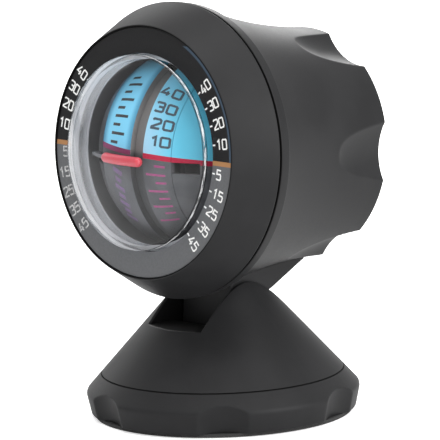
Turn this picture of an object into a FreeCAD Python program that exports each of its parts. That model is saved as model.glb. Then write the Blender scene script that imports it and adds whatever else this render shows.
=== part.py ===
"""Dashboard inclinometer: a domed head with a roll and pitch ball, on a slotted cone and a round base.

World frame: millimetres, +Z up, the dial faces -Y, and the origin is the middle of the adhesive face
under the base. The head is drawn in a frame of its own whose Y axis is the head's axis, and the ball
in one whose origin is the ball's centre. All lengths below are millimetres and all angles degrees.
"""
import FreeCAD, Part
import os
import re
import Sketcher
from FreeCAD import Placement, Rotation, Vector

SIZES = {
    # base
    "pad_radius": 30.0,
    "pad_thick": 0.8,
    "base_foot_radius": 30.9,
    "base_foot_bevel": 0.5,
    "base_corner_radius": 32.0,
    "base_corner_height": 5.8,
    "seam_height": 9.9,
    "seam_gap": 0.15,
    "lip_bore_radius": 24.6,
    "base_bore_radius": 25.8,
    "plate_thick": 2.2,
    "plate_fit": 0.15,
    "lug_radius": 2.0,
    "lug_circle": 27.4,
    "lug_fit": 0.1,
    "base_turn": 15.0,
    "scallop_count": 6,
    "base_scallop_radius": 15.0,
    "base_scallop_depth": 1.8,
    # swivel between base and cone
    "swivel_fit": 0.2,
    "swivel_play": 0.05,
    "friction_ring_thick": 0.8,
    "friction_ring_width": 2.4,
    "cone_flange_thick": 1.6,
    # cone
    "apex_height": 41.5,
    "cone_half_angle": 41.9,
    "cone_wall": 2.4,
    "cone_floor": 2.0,
    "skirt_wall": 2.2,
    "slot_width": 17.0,
    "slot_floor": 22.0,
    "slot_wall": 2.2,
    "slot_round": 0.3,
    "pocket_half": 8.2,
    "knuckle_gap": 0.5,
    # tilt hinge
    "pin_height": 17.0,
    "pin_radius": 2.0,
    "pin_fit": 0.05,
    "pin_head_radius": 3.4,
    "pin_head_thick": 2.0,
    "nut_radius": 3.8,
    "nut_thick": 2.6,
    "pin_end": 0.6,
    "nut_clearance": 0.3,
    "washer_radius": 5.0,
    "washer_thick": 0.5,
    "washer_play": 0.05,
    "knuckle_radius": 5.4,
    "rest_tilt": 5.4,
    # head outline
    "axis_rise": 45.1,
    "face_forward": 27.5,
    "seam_forward": 17.3,
    "tail_back": 25.3,
    "rim_radius": 29.5,
    "rim_proud": 0.5,
    "seam_radius": 34.5,
    "seam_bevel": 0.3,
    "seam_groove": 0.4,
    "lip_radius": 34.3,
    "lip_width": 2.9,
    "lip_fall": 0.4,
    "waist_step": 0.6,
    "waist_curve": 139.0,
    "tail_radius": 26.7,
    "tail_bevel": 0.4,
    "tail_scallop_radius": 14.0,
    "tail_scallop_depth": 2.4,
    "tail_scallop_lean": 13.3,
    "tail_scallop_length": 17.0,
    # stem
    "stem_side_play": 0.6,
    "stem_back": 18.1,
    "stem_back_height": 18.7,
    "stem_elbow": 7.8,
    "stem_elbow_height": 12.4,
    # rear shell inside
    "shell_bore_radius": 28.3,
    "shell_bore_end": -4.0,
    "shell_wall": 3.5,
    "spigot_wall": 2.2,
    "spigot_fit": 0.2,
    "ledge_thick": 4.0,
    "ledge_radius": 18.2,
    "cover_radius": 22.4,
    "cover_thick": 2.0,
    "cover_fit": 0.15,
    "cover_screw_circle": 20.3,
    "screw_head_radius": 1.9,
    "screw_head_thick": 1.0,
    "screw_radius": 1.0,
    "screw_length": 3.4,
    "screw_fit": 0.1,
    "screw_count": 3,
    # face: scale ring, dome and seal
    "ring_radius": 28.8,
    "ring_inner_radius": 22.8,
    "ring_thick": 0.8,
    "ring_fit": 0.1,
    "seat_thick": 0.9,
    "dome_foot": 2.6,
    "dome_radius": 32.0,
    "dome_wall": 1.2,
    "dome_fit": 0.2,
    "dome_flange_radius": 26.0,
    "dome_flange_thick": 1.3,
    "gasket_thick": 0.8,
    "gasket_inner_radius": 24.2,
    "gasket_radius": 27.4,
    "bezel_step_radius": 28.2,
    # capsule behind the dome
    "cup_rim_length": 1.6,
    "cup_flange_thick": 1.4,
    "cup_radius": 26.5,
    "cup_wall": 1.3,
    "cup_boss_radius": 5.0,
    "cup_boss_length": 2.0,
    "bearing_radius": 2.9,
    "bearing_flange_radius": 4.2,
    "bearing_flange_thick": 0.5,
    "press_play": 0.02,
    "shaft_play": 0.05,
    # ball
    "ball_depth": 19.2,
    "ball_radius": 24.0,
    "drum_half": 11.2,
    "drum_gap": 0.2,
    "drum_rim_wall": 1.3,
    "drum_web": 1.0,
    "drum_hub_radius": 3.5,
    "groove_left": 0.8,
    "groove_right": 4.5,
    "groove_depth": 1.5,
    "cap_wall": 1.6,
    "side_plate_thick": 1.6,
    "side_plate_radius": 18.4,
    "cap_seat_fit": 0.1,
    "bridge_gap": 0.5,
    "bridge_thick": 1.4,
    "bridge_half": 5.0,
    "bridge_fit": 0.2,
    "window_right": 16.7,
    "window_top": 1.1,
    "window_tall": 2.5,
    "roll_axle_radius": 1.25,
    "roll_axle_head_radius": 3.0,
    "roll_axle_head_thick": 0.6,
    "roll_axle_end": 0.3,
    "clip_radius": 2.6,
    "clip_thick": 0.5,
    "clip_gap": 0.1,
    "roll_weight_radius": 14.2,
    "roll_weight_top": 6.0,
    "roll_weight_thick": 3.5,
    "pitch_axle_radius": 1.2,
    "pitch_axle_end": 0.7,
    "axle_bevel": 0.3,
    "pitch_bearing_radius": 2.5,
    "pitch_bearing_proud": 0.5,
    "pitch_weight_top": 10.0,
    "pitch_weight_thick": 3.0,
    "pitch_weight_fit": 0.1,
    "pointer_radius": 1.15,
    "pointer_gap": 0.35,
    "pointer_left": 14.6,
    "pointer_right": 9.8,
    "pointer_drop": 3.5,
    "arm_radius": 0.5,
    "arm_end": 31.0,
    "arm_gap": 0.05,
}

document = FreeCAD.newDocument("inclinometer")
sheet = document.addObject("Spreadsheet::Sheet", "sizes")
for row, (alias, number) in enumerate(SIZES.items(), start=1):
    sheet.set(f"A{row}", str(number))
    sheet.setAlias(f"A{row}", alias)
document.recompute()

# Places that several pieces share, each worked out from the sizes.
PLATE_TOP = "(pad_thick + plate_thick)"
FLANGE_LOW = "(pad_thick + plate_thick + friction_ring_thick + 2 * swivel_play)"
FLANGE_HIGH = f"({FLANGE_LOW} + cone_flange_thick)"
LIP_UNDER = f"({FLANGE_HIGH} + 2 * swivel_play)"
CONE_FOOT = "(seam_height + seam_gap)"
SKIRT_RADIUS = "(lip_bore_radius - swivel_fit)"
SLOT_HALF = "(slot_width / 2)"
BLOCK_HALF = f"({SLOT_HALF} + slot_wall)"
STEM_HALF = f"({SLOT_HALF} - stem_side_play)"
PIN_END = f"({BLOCK_HALF} + nut_thick + pin_end)"
SEAM = "(-seam_forward)"
FACE = "(-face_forward)"
LIP_FRONT = f"({SEAM} + seam_groove)"
LIP_BACK = f"({LIP_FRONT} + lip_width)"
SEAT_BACK = f"({FACE} + ring_thick + seat_thick)"
DOME_BACK = f"({SEAT_BACK} + dome_flange_thick)"
CUP_FRONT = f"({DOME_BACK} + gasket_thick)"
CLAMP = f"({CUP_FRONT} + cup_rim_length)"
SPIGOT_FRONT = f"({CLAMP} + cup_flange_thick)"
SPIGOT_RADIUS = "(shell_bore_radius + spigot_wall)"
COVER_SEAT = "(tail_back - cover_thick)"
SKIRT = "(ring_inner_radius - dome_fit)"
DOME_CENTRE = f"({FACE} - dome_foot + sqrt(dome_radius^2 - {SKIRT}^2))"
BALL = f"({FACE} + ball_depth)"
CUP_OUTER = "(cup_radius + cup_wall)"
BOSS_END = f"({CUP_OUTER} + cup_boss_length)"
CAP_FACE = "(drum_half + drum_gap)"
PLATE_FACE = f"({CAP_FACE} + side_plate_thick)"
BRIDGE_INNER = "(ball_radius + bridge_gap)"
BRIDGE_OUTER = f"({BRIDGE_INNER} + bridge_thick)"
AXLE_SEAT = f"({BRIDGE_INNER} + bridge_thick / 2)"
CLIP_FRONT = f"({BOSS_END} + bearing_flange_thick + clip_gap)"
CLIP_BACK = f"({CLIP_FRONT} + clip_thick)"
HEAD_Y = "(axis_rise * sin(rest_tilt))"
HEAD_Z = "(pin_height + axis_rise * cos(rest_tilt))"

FRAMES = {
    "world": ("0", "0", (0, 0, 1), "0"),
    "base": ("0", "0", (0, 0, 1), "base_turn"),
    "head": (HEAD_Y, HEAD_Z, (1, 0, 0), "-rest_tilt"),
    "ball": (f"{HEAD_Y} + {BALL} * cos(rest_tilt)", f"{HEAD_Z} - {BALL} * sin(rest_tilt)",
             (1, 0, 0), "-rest_tilt"),
    "pointer": (f"{HEAD_Y} + {BALL} * cos(rest_tilt)", f"{HEAD_Z} - {BALL} * sin(rest_tilt)",
                (1, 0, 0), "pointer_drop - rest_tilt"),
    "level ball": (f"{HEAD_Y} + {BALL} * cos(rest_tilt)", f"{HEAD_Z} - {BALL} * sin(rest_tilt)",
                   (1, 0, 0), "0"),
}
nodes = []


def bound(expression):
    """Write each size's name in an expression as a reference to its cell."""
    return re.sub(r"[a-z_]+", lambda word: f"sizes.{word[0]}" if word[0] in SIZES else word[0], expression)


def number(expression):
    result = sheet.evalExpression(bound(expression))
    return float(getattr(result, "Value", result))


def bind(item, **paths):
    """Bind properties to expressions; a double underscore in a name stands for a point."""
    for path, expression in paths.items():
        item.setExpression(path.replace("__", "."), bound(expression))


def finish_node(item, label, frame):
    """Name a finished piece and put it in the frame that it was drawn in."""
    y, z, axis, angle = FRAMES[frame]
    item.Label = label
    item.Placement = Placement(Vector(), Rotation(Vector(*axis), 1))
    bind(item, Placement__Base__y=y, Placement__Base__z=z, Placement__Rotation__Angle=angle)
    nodes.append(item)
    return item


# Solids made of primitives

ALONG = {"x": Rotation(Vector(0, 1, 0), 90), "y": Rotation(Vector(1, 0, 0), -90), "z": Rotation()}


def cylinder(name, radius, start, end, along="z", at=("0", "0")):
    """A cylinder along one axis from start to end; at gives its other two coordinates, in order."""
    item = document.addObject("Part::Cylinder", name)
    item.Placement = Placement(Vector(), ALONG[along])
    bind(item, Radius=radius, Height=f"({end}) - ({start})")
    others = [axis for axis in "xyz" if axis != along]
    bind(item, **{f"Placement__Base__{along}": start})
    bind(item, **{f"Placement__Base__{axis}": place for axis, place in zip(others, at)})
    return item


def tube(name, radius, bore, start, end, along="z"):
    outer = cylinder(f"{name}_outer", radius, start, end, along)
    inner = cylinder(f"{name}_bore", bore, start, end, along)
    return cut(name, outer, inner)


def box(name, low, high):
    item = document.addObject("Part::Box", name)
    lengths = [f"({far}) - ({near})" for near, far in zip(low, high)]
    bind(item, Length=lengths[0], Width=lengths[1], Height=lengths[2])
    bind(item, Placement__Base__x=low[0], Placement__Base__y=low[1], Placement__Base__z=low[2])
    return item


def cone(name, low_radius, high_radius, low, high):
    item = document.addObject("Part::Cone", name)
    bind(item, Radius1=low_radius, Radius2=high_radius, Height=f"({high}) - ({low})")
    bind(item, Placement__Base__z=low)
    return item


def sphere(name, radius, along, y="0"):
    """A ball whose poles lie on one axis, so that round cuts about that axis meet it in circles."""
    item = document.addObject("Part::Sphere", name)
    item.Placement = Placement(Vector(), ALONG[along])
    bind(item, Radius=radius, Placement__Base__y=y)
    return item


def bowl(name, radius, start, middle):
    """A cylinder along Y that ends in half a ball."""
    half = sphere(f"{name}_half_ball", radius, "y", middle)
    half.Angle1 = 0
    return fuse(name, cylinder(f"{name}_wall", radius, start, middle, "y"), half)


def combine(kind, name, items):
    item = document.addObject(f"Part::{kind}", name)
    if kind == "Compound":
        item.Links = items
    else:
        item.Shapes = items
    return item


def fuse(name, *items):
    return combine("MultiFuse", name, list(items))


def common(name, *items):
    return combine("MultiCommon", name, list(items))


def cut(name, base, *tools):
    item = document.addObject("Part::Cut", name)
    item.Base = base
    item.Tool = tools[0] if len(tools) == 1 else fuse(f"{name}_tools", *tools)
    return item


# Bodies made of sketches

def new_body(name):
    return document.addObject("PartDesign::Body", name)


def origin_plane(body, role):
    return next(plane for plane in body.Origin.OriginFeatures if plane.Role == role)


def arc_between(start, end, radius, side):
    """An arc from start to end whose centre lies on the left (side 1) or right (side -1) of the way."""
    middle = (start + end) * 0.5
    way = end - start
    across = Vector(-way.y, way.x, 0).normalize()
    reach = max(radius ** 2 - (way.Length / 2) ** 2, 0) ** 0.5
    centre = middle + across * (side * reach)
    bulge = centre - across * (side * radius)
    return Part.Arc(start, bulge, end)


def outline(body, name, role, corners, arcs=None):
    """A closed sketch through corners, given as pairs of expressions.

    arcs maps a corner's index to (radius, side) for the stretch that leaves it; all others are lines.
    """
    arcs = arcs or {}
    sketch = body.newObject("Sketcher::SketchObject", name)
    sketch.AttachmentSupport = [(origin_plane(body, role), "")]
    sketch.MapMode = "FlatFace"
    points = [Vector(number(x), number(y), 0) for x, y in corners]
    count = len(points)
    ends = []
    for index, start in enumerate(points):
        end = points[(index + 1) % count]
        if index not in arcs:
            sketch.addGeometry(Part.LineSegment(start, end), False)
            ends.append((1, 2))
            continue
        radius, side = arcs[index]
        curve = arc_between(start, end, number(radius), side)
        sketch.addGeometry(curve, False)
        ends.append((1, 2) if sketch.Geometry[index].StartPoint.distanceToPoint(start) < 1e-6 else (2, 1))
    for index in range(count):
        after = (index + 1) % count
        sketch.addConstraint(Sketcher.Constraint("Coincident", index, ends[index][1], after, ends[after][0]))
    for index, (x, y) in enumerate(corners):
        for kind, expression, value in (("DistanceX", x, points[index].x), ("DistanceY", y, points[index].y)):
            place = sketch.addConstraint(Sketcher.Constraint(kind, -1, 1, index, ends[index][0], value))
            sketch.setExpression(f"Constraints[{place}]", bound(expression))
    for index, (radius, side) in arcs.items():
        place = sketch.addConstraint(Sketcher.Constraint("Radius", index, number(radius)))
        sketch.setExpression(f"Constraints[{place}]", bound(radius))
    return sketch


def circle_sketch(body, name, role, radius, x="0", y="0"):
    sketch = body.newObject("Sketcher::SketchObject", name)
    sketch.AttachmentSupport = [(origin_plane(body, role), "")]
    sketch.MapMode = "FlatFace"
    centre = Vector(number(x), number(y), 0)
    sketch.addGeometry(Part.Circle(centre, Vector(0, 0, 1), number(radius)), False)
    for kind, expression, value in (("DistanceX", x, centre.x), ("DistanceY", y, centre.y)):
        place = sketch.addConstraint(Sketcher.Constraint(kind, -1, 1, 0, 3, value))
        sketch.setExpression(f"Constraints[{place}]", bound(expression))
    place = sketch.addConstraint(Sketcher.Constraint("Radius", 0, number(radius)))
    sketch.setExpression(f"Constraints[{place}]", bound(radius))
    return sketch


def turn(body, name, sketch, kind="Revolution", axis="H_Axis"):
    """Turn a sketch a full circle about one of its own axes, to add or to cut."""
    feature = body.newObject(f"PartDesign::{kind}", name)
    feature.Profile = sketch
    feature.ReferenceAxis = (sketch, [axis])
    feature.Angle = 360
    body.Tip = feature
    return feature


def turned_body(name, role, corners, arcs=None, axis="H_Axis"):
    body = new_body(name)
    turn(body, f"{name}_turn", outline(body, f"{name}_profile", role, corners, arcs), axis=axis)
    return body


def extrude(body, name, sketch, length, kind="Pad"):
    """Extrude a sketch half to each side of its plane."""
    feature = body.newObject(f"PartDesign::{kind}", name)
    feature.Profile = sketch
    feature.Midplane = True
    bind(feature, Length=length)
    body.Tip = feature
    return feature


def pattern_round(body, name, feature, role):
    pattern = body.newObject("PartDesign::PolarPattern", name)
    pattern.Originals = [feature]
    pattern.Axis = (origin_plane(body, role), [""])
    pattern.Angle = 360
    bind(pattern, Occurrences="scallop_count")
    body.Tip = pattern
    return pattern


def round_places(count, circle, first="0"):
    """Expressions for places round a circle, from the angle first."""
    turns = [f"({first} + {index} * 360 / {count})" for index in range(count)]
    return [(f"{circle} * cos({angle})", f"{circle} * sin({angle})") for angle in turns]


# Base: pad, plate, ring and the ring that gives the swivel its friction

def make_adhesive_pad():
    finish_node(cylinder("adhesive_pad", "pad_radius", "0", "pad_thick"), "adhesive_pad", "base")


def lug_places():
    """The plate's screws sit between the scallops."""
    return round_places(SIZES["screw_count"], "lug_circle", "(180 / scallop_count)")


def make_base_plate():
    disc = cylinder("plate_disc", "base_bore_radius - plate_fit", "pad_thick", PLATE_TOP)
    lugs = [cylinder(f"plate_lug_{index}", "lug_radius", "pad_thick", PLATE_TOP, at=place)
            for index, place in enumerate(lug_places())]
    holes = [cylinder(f"plate_hole_{index}", "screw_radius + screw_fit", "0", PLATE_TOP, at=place)
             for index, place in enumerate(lug_places())]
    sinks = [cylinder(f"plate_sink_{index}", "screw_head_radius + screw_fit / 2", "0",
                      "pad_thick + screw_head_thick", at=place)
             for index, place in enumerate(lug_places())]
    finish_node(cut("base_plate", fuse("plate_blank", disc, *lugs), *holes, *sinks), "base_plate", "base")


def make_base_screws():
    screws = []
    for index, place in enumerate(lug_places()):
        head = cylinder(f"base_screw_head_{index}", "screw_head_radius - screw_fit", "pad_thick",
                        "pad_thick + screw_head_thick", at=place)
        shank = cylinder(f"base_screw_shank_{index}", "screw_radius", "pad_thick + screw_head_thick",
                         f"{PLATE_TOP} + screw_length - screw_head_thick", at=place)
        screws.append(fuse(f"base_screw_{index}", head, shank))
    finish_node(combine("Compound", "base_screws", screws), "base_screws", "base")


def make_base_ring():
    seam_edge = f"(apex_height - seam_height) * tan(cone_half_angle)"
    body = turned_body("base_ring_body", "XZ_Plane", [
        ("base_bore_radius", "pad_thick"),
        ("base_foot_radius - base_foot_bevel", "pad_thick"),
        ("base_foot_radius", "pad_thick + base_foot_bevel"),
        ("base_corner_radius", "base_corner_height"),
        (seam_edge, "seam_height"),
        ("lip_bore_radius", "seam_height"),
        ("lip_bore_radius", LIP_UNDER),
        ("base_bore_radius", LIP_UNDER)], axis="V_Axis")
    lean = "atan((base_corner_radius - base_foot_radius) / (base_corner_height - pad_thick))"
    below = "base_scallop_radius"
    scallop = body.newObject("PartDesign::SubtractiveCylinder", "base_scallop")
    scallop.Placement = Placement(Vector(), Rotation(Vector(0, 1, 0), 1))
    bind(scallop, Radius="base_scallop_radius", Height=f"2 * {below} + seam_height",
         Placement__Rotation__Angle=lean,
         Placement__Base__x=f"base_foot_radius - base_scallop_depth"
                            f" + base_scallop_radius / cos({lean}) - {below} * sin({lean})",
         Placement__Base__z=f"pad_thick - {below} * cos({lean})")
    body.Tip = scallop
    pattern_round(body, "base_scallops", scallop, "Z_Axis")
    sockets = [cylinder(f"lug_socket_{index}", "lug_radius + lug_fit", "0", PLATE_TOP, at=place)
               for index, place in enumerate(lug_places())]
    pilots = [cylinder(f"pilot_{index}", "screw_radius", "0", f"{PLATE_TOP} + screw_length", at=place)
              for index, place in enumerate(lug_places())]
    finish_node(cut("base_ring", body, *sockets, *pilots), "base_ring", "base")


def make_friction_ring():
    outer = "base_bore_radius - swivel_fit"
    ring = tube("swivel_ring_tube", outer, f"{outer} - friction_ring_width",
                f"{PLATE_TOP} + swivel_play", f"{FLANGE_LOW} - swivel_play")
    finish_node(ring, "swivel_friction_ring", "base")


# Cone: a slotted shell that turns on the base and holds the tilt pin

def cone_radius(height, wall="0"):
    return f"((apex_height - ({height})) * tan(cone_half_angle) - {wall} / cos(cone_half_angle))"


def round_slot(blank):
    """Round the edges where the slot's two walls and its floor meet the cone."""
    document.recompute()
    half = number(SLOT_HALF)
    floor = number("slot_floor")
    rounded = document.addObject("Part::Fillet", "base_cone")
    rounded.Base = blank
    edges = []
    for index, edge in enumerate(blank.Shape.Edges, start=1):
        middle = edge.valueAt((edge.FirstParameter + edge.LastParameter) / 2)
        outside = abs(middle.x ** 2 + middle.y ** 2 - number(cone_radius(str(middle.z))) ** 2) < 0.01
        on_wall = abs(abs(middle.x) - half) < 0.001
        if outside and on_wall and middle.z > floor + 0.01:
            edges.append((index, number("slot_round"), number("slot_round")))
    rounded.Edges = edges
    return rounded


def make_base_cone():
    top = "apex_height - 6"
    foot = f"({CONE_FOOT} + cone_floor)"
    inner_apex = "apex_height - cone_wall / sin(cone_half_angle)"
    flange_radius = "base_bore_radius - swivel_fit"
    outside = fuse(
        "cone_outside",
        cone("cone_flank", cone_radius(CONE_FOOT), cone_radius(top), CONE_FOOT, top),
        cylinder("cone_skirt", SKIRT_RADIUS, FLANGE_LOW, CONE_FOOT),
        cylinder("cone_flange", flange_radius, FLANGE_LOW, FLANGE_HIGH))
    hollow = fuse(
        "cone_hollow",
        cone("cone_hollow_flank", cone_radius(foot, "cone_wall"), "0", foot, inner_apex),
        cylinder("cone_hollow_bore", f"{SKIRT_RADIUS} - skirt_wall", "0", f"{foot} + cone_floor / 4"),
        cylinder("pin_ends_room", "nut_radius + nut_clearance", f"-{PIN_END} - nut_clearance",
                 f"{PIN_END} + nut_clearance", "x", ("0", "pin_height")))
    far = "base_corner_radius"
    pocket_low = "pin_height - knuckle_radius - knuckle_gap"
    trough = box("slot_trough", (f"-{BLOCK_HALF}", f"-{far}", "slot_floor - slot_wall"),
                 (BLOCK_HALF, far, "apex_height"))
    well_half = "(pocket_half + slot_wall)"
    well = box("hinge_well", (f"-{BLOCK_HALF}", f"-{well_half}", f"{pocket_low} - slot_wall"),
               (BLOCK_HALF, well_half, "apex_height"))
    shell = cut("cone_shell", outside, cut("cone_room", hollow, trough, well))
    slot = box("slot", (f"-{SLOT_HALF}", f"-{far}", "slot_floor"), (SLOT_HALF, far, "apex_height"))
    pocket = box("hinge_pocket", (f"-{SLOT_HALF}", "-pocket_half", pocket_low),
                 (SLOT_HALF, "pocket_half", "apex_height"))
    pin_hole = cylinder("cone_pin_hole", "pin_radius + pin_fit / 2", f"-{BLOCK_HALF} - 1", f"{BLOCK_HALF} + 1",
                        "x", ("0", "pin_height"))
    blank = cut("cone_blank", shell, slot, pocket, pin_hole)
    finish_node(round_slot(blank), "base_cone", "world")


def make_tilt_hinge():
    at_pin = ("0", "pin_height")
    head_end = f"(-{BLOCK_HALF})"
    head = cylinder("pin_head", "pin_head_radius", f"{head_end} - pin_head_thick", head_end, "x", at_pin)
    shank = cylinder("pin_shank", "pin_radius", f"{head_end} - pin_head_thick / 2", PIN_END, "x", at_pin)
    finish_node(fuse("tilt_pin", head, shank), "tilt_pin", "world")

    hexagon = document.addObject("Part::Prism", "nut_hexagon")
    hexagon.Polygon = 6
    hexagon.Placement = Placement(Vector(), ALONG["x"])
    bind(hexagon, Circumradius="nut_radius", Height="nut_thick", Placement__Base__x=BLOCK_HALF,
         Placement__Base__z="pin_height")
    bore = cylinder("nut_bore", "pin_radius + pin_fit", BLOCK_HALF, f"{BLOCK_HALF} + nut_thick", "x", at_pin)
    finish_node(cut("tilt_nut", hexagon, bore), "tilt_nut", "world")

    washers = []
    for side, sign in (("left", "-"), ("right", "")):
        near, far = f"({STEM_HALF} + washer_play)", f"({STEM_HALF} + washer_play + washer_thick)"
        start, end = (f"-{far}", f"-{near}") if sign else (near, far)
        outer = cylinder(f"washer_{side}", "washer_radius", start, end, "x", at_pin)
        hole = cylinder(f"washer_hole_{side}", "pin_radius + pin_fit", start, end, "x", at_pin)
        washers.append(cut(f"tilt_washer_{side}", outer, hole))
    finish_node(combine("Compound", "tilt_washers", washers), "tilt_washers", "world")


# Head: two shells, the stem that goes down into the cone, the face and the capsule

def shell_inner_radius(y):
    """The inside tapers from the front bore to the cover's ledge."""
    slope = f"(tail_radius - shell_wall - shell_bore_radius) / ({COVER_SEAT} - ledge_thick - shell_bore_end)"
    return f"(shell_bore_radius + ({y} - shell_bore_end) * {slope})"


def make_rear_shell():
    body = turned_body("shell_body", "YZ_Plane", [
        (SPIGOT_FRONT, "0"),
        (SPIGOT_FRONT, SPIGOT_RADIUS),
        (LIP_FRONT, SPIGOT_RADIUS),
        (LIP_FRONT, "lip_radius - seam_bevel"),
        (f"{LIP_FRONT} + seam_bevel", "lip_radius"),
        (LIP_BACK, "lip_radius - lip_fall"),
        (f"{LIP_BACK} + waist_step", "lip_radius - lip_fall - waist_step"),
        ("tail_back - tail_bevel", "tail_radius"),
        ("tail_back", "tail_radius - tail_bevel"),
        ("tail_back", "0")], {6: ("waist_curve", 1)})
    lean = "tail_scallop_lean"
    behind = "tail_scallop_radius"
    scallop = body.newObject("PartDesign::SubtractiveCylinder", "tail_scallop")
    scallop.AttachmentSupport = [(origin_plane(body, "XZ_Plane"), "")]
    scallop.MapMode = "FlatFace"
    scallop.AttachmentOffset = Placement(Vector(), Rotation(Vector(0, 1, 0), 1))
    bind(scallop, Radius="tail_scallop_radius", Height=f"{behind} + 2 * tail_scallop_length",
         AttachmentOffset__Rotation__Angle=lean,
         AttachmentOffset__Base__x=f"tail_radius - tail_scallop_depth"
                                   f" + tail_scallop_radius / cos({lean}) - {behind} * sin({lean})",
         AttachmentOffset__Base__z=f"-tail_back - {behind} * cos({lean})")
    body.Tip = scallop
    pattern_round(body, "tail_scallops", scallop, "Y_Axis")

    pin = "(-axis_rise)"
    inside = "(-ledge_radius)"
    stem = outline(body, "stem_profile", "YZ_Plane", [
        ("-knuckle_radius", pin),
        ("-knuckle_radius", inside),
        ("stem_back", inside),
        ("stem_back", f"{pin} + stem_back_height"),
        ("stem_elbow", f"{pin} + stem_elbow_height"),
        ("knuckle_radius", f"{pin} + stem_elbow_height - (stem_elbow - knuckle_radius)"
                           f" * (stem_back_height - stem_elbow_height) / (stem_back - stem_elbow)"),
        ("knuckle_radius", pin)])
    extrude(body, "stem", stem, f"2 * {STEM_HALF}")
    knuckle = circle_sketch(body, "knuckle_profile", "YZ_Plane", "knuckle_radius", "0", pin)
    extrude(body, "knuckle", knuckle, f"2 * {STEM_HALF}")

    ledge_front = f"({COVER_SEAT} - ledge_thick)"
    room = outline(body, "room_profile", "YZ_Plane", [
        (f"{SPIGOT_FRONT} - 1", "0"),
        (f"{SPIGOT_FRONT} - 1", "shell_bore_radius"),
        ("shell_bore_end", "shell_bore_radius"),
        (ledge_front, shell_inner_radius(ledge_front)),
        (ledge_front, "ledge_radius"),
        (COVER_SEAT, "ledge_radius"),
        (COVER_SEAT, "cover_radius + cover_fit"),
        ("tail_back + 1", "cover_radius + cover_fit"),
        ("tail_back + 1", "0")])
    turn(body, "room", room, "Groove")
    bore = circle_sketch(body, "stem_bore_profile", "YZ_Plane", "pin_radius + pin_fit", "0", pin)
    extrude(body, "stem_bore", bore, f"4 * {STEM_HALF}", "Pocket")
    pilots = [cylinder(f"cover_pilot_{index}", "screw_radius", ledge_front, "tail_back", "y", place)
              for index, place in enumerate(cover_screw_places())]
    finish_node(cut("rear_shell", body, *pilots), "rear_shell", "head")


def cover_screw_places():
    return round_places(SIZES["screw_count"], "cover_screw_circle", "90")


def make_rear_cover():
    disc = cylinder("cover_disc", "cover_radius", COVER_SEAT, "tail_back", "y")
    holes = [cylinder(f"cover_hole_{index}", "screw_radius + screw_fit", COVER_SEAT, "tail_back", "y", place)
             for index, place in enumerate(cover_screw_places())]
    sinks = [cylinder(f"cover_sink_{index}", "screw_head_radius + screw_fit / 2",
                      "tail_back - screw_head_thick", "tail_back", "y", place)
             for index, place in enumerate(cover_screw_places())]
    finish_node(cut("rear_cover", disc, *holes, *sinks), "rear_cover", "head")

    screws = []
    for index, place in enumerate(cover_screw_places()):
        head = cylinder(f"cover_screw_head_{index}", "screw_head_radius - screw_fit",
                        "tail_back - screw_head_thick", "tail_back", "y", place)
        shank = cylinder(f"cover_screw_shank_{index}", "screw_radius",
                         f"{COVER_SEAT} - screw_length", "tail_back - screw_head_thick", "y", place)
        screws.append(fuse(f"cover_screw_{index}", head, shank))
    finish_node(combine("Compound", "rear_cover_screws", screws), "rear_cover_screws", "head")


def make_front_bezel():
    ring_hole = "ring_radius + ring_fit"
    bore = f"({SPIGOT_RADIUS} + spigot_fit)"
    rim = f"({FACE} - rim_proud)"
    finish_node(turned_body("front_bezel", "YZ_Plane", [
        (rim, ring_hole),
        (rim, "rim_radius"),
        (f"{SEAM} - seam_bevel", "seam_radius"),
        (SEAM, "seam_radius - seam_bevel"),
        (SEAM, bore),
        (CLAMP, bore),
        (CLAMP, "bezel_step_radius"),
        (SEAT_BACK, "bezel_step_radius"),
        (SEAT_BACK, f"{SKIRT} + dome_fit / 2"),
        (f"{FACE} + ring_thick", f"{SKIRT} + dome_fit / 2"),
        (f"{FACE} + ring_thick", ring_hole)]), "front_bezel", "head")


def dome_cap(name, ball, skirt):
    """The front of a ball with a straight skirt behind it."""
    return common(name, sphere(f"{name}_ball", ball, "y", DOME_CENTRE),
                  cylinder(f"{name}_skirt", skirt, f"{DOME_CENTRE} - {ball}", DOME_BACK, "y"))


def make_face():
    ring = tube("scale_ring_tube", "ring_radius", "ring_inner_radius", FACE, f"{FACE} + ring_thick", "y")
    finish_node(ring, "scale_ring", "head")

    dome = cut(
        "dome_lens",
        fuse("dome_blank", dome_cap("dome_outside", "dome_radius", SKIRT),
             cylinder("dome_flange", "dome_flange_radius", SEAT_BACK, DOME_BACK, "y")),
        dome_cap("dome_inside", "(dome_radius - dome_wall)", f"({SKIRT} - dome_wall)"))
    finish_node(dome, "dome_lens", "head")

    gasket = tube("dome_gasket_tube", "gasket_radius", "gasket_inner_radius", DOME_BACK, CUP_FRONT, "y")
    finish_node(gasket, "dome_gasket", "head")


def make_capsule():
    outside = fuse(
        "cup_outside",
        bowl("cup_shell", CUP_OUTER, CUP_FRONT, BALL),
        cylinder("cup_flange", SPIGOT_RADIUS, CLAMP, SPIGOT_FRONT, "y"),
        cylinder("cup_boss", "cup_boss_radius", BALL, f"{BALL} + {BOSS_END}", "y"))
    hole = cylinder("cup_bearing_hole", "bearing_radius + press_play", BALL, f"{BALL} + {BOSS_END}", "y")
    cup = cut("capsule_cup", outside, bowl("cup_room", "cup_radius", CUP_FRONT, BALL), hole)
    finish_node(cup, "capsule_cup", "head")

    bush = cylinder("bush_body", "bearing_radius", "cup_radius", BOSS_END, "y")
    flange = cylinder("bush_flange", "bearing_flange_radius", BOSS_END,
                      f"{BOSS_END} + bearing_flange_thick", "y")
    bore = cylinder("bush_bore", "roll_axle_radius + shaft_play", "0", f"{BOSS_END} + cup_radius", "y")
    finish_node(cut("roll_bearing", fuse("bush_blank", bush, flange), bore), "roll_bearing", "ball")


# Ball: a roll yoke with two caps, and between them the pitch drum

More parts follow.
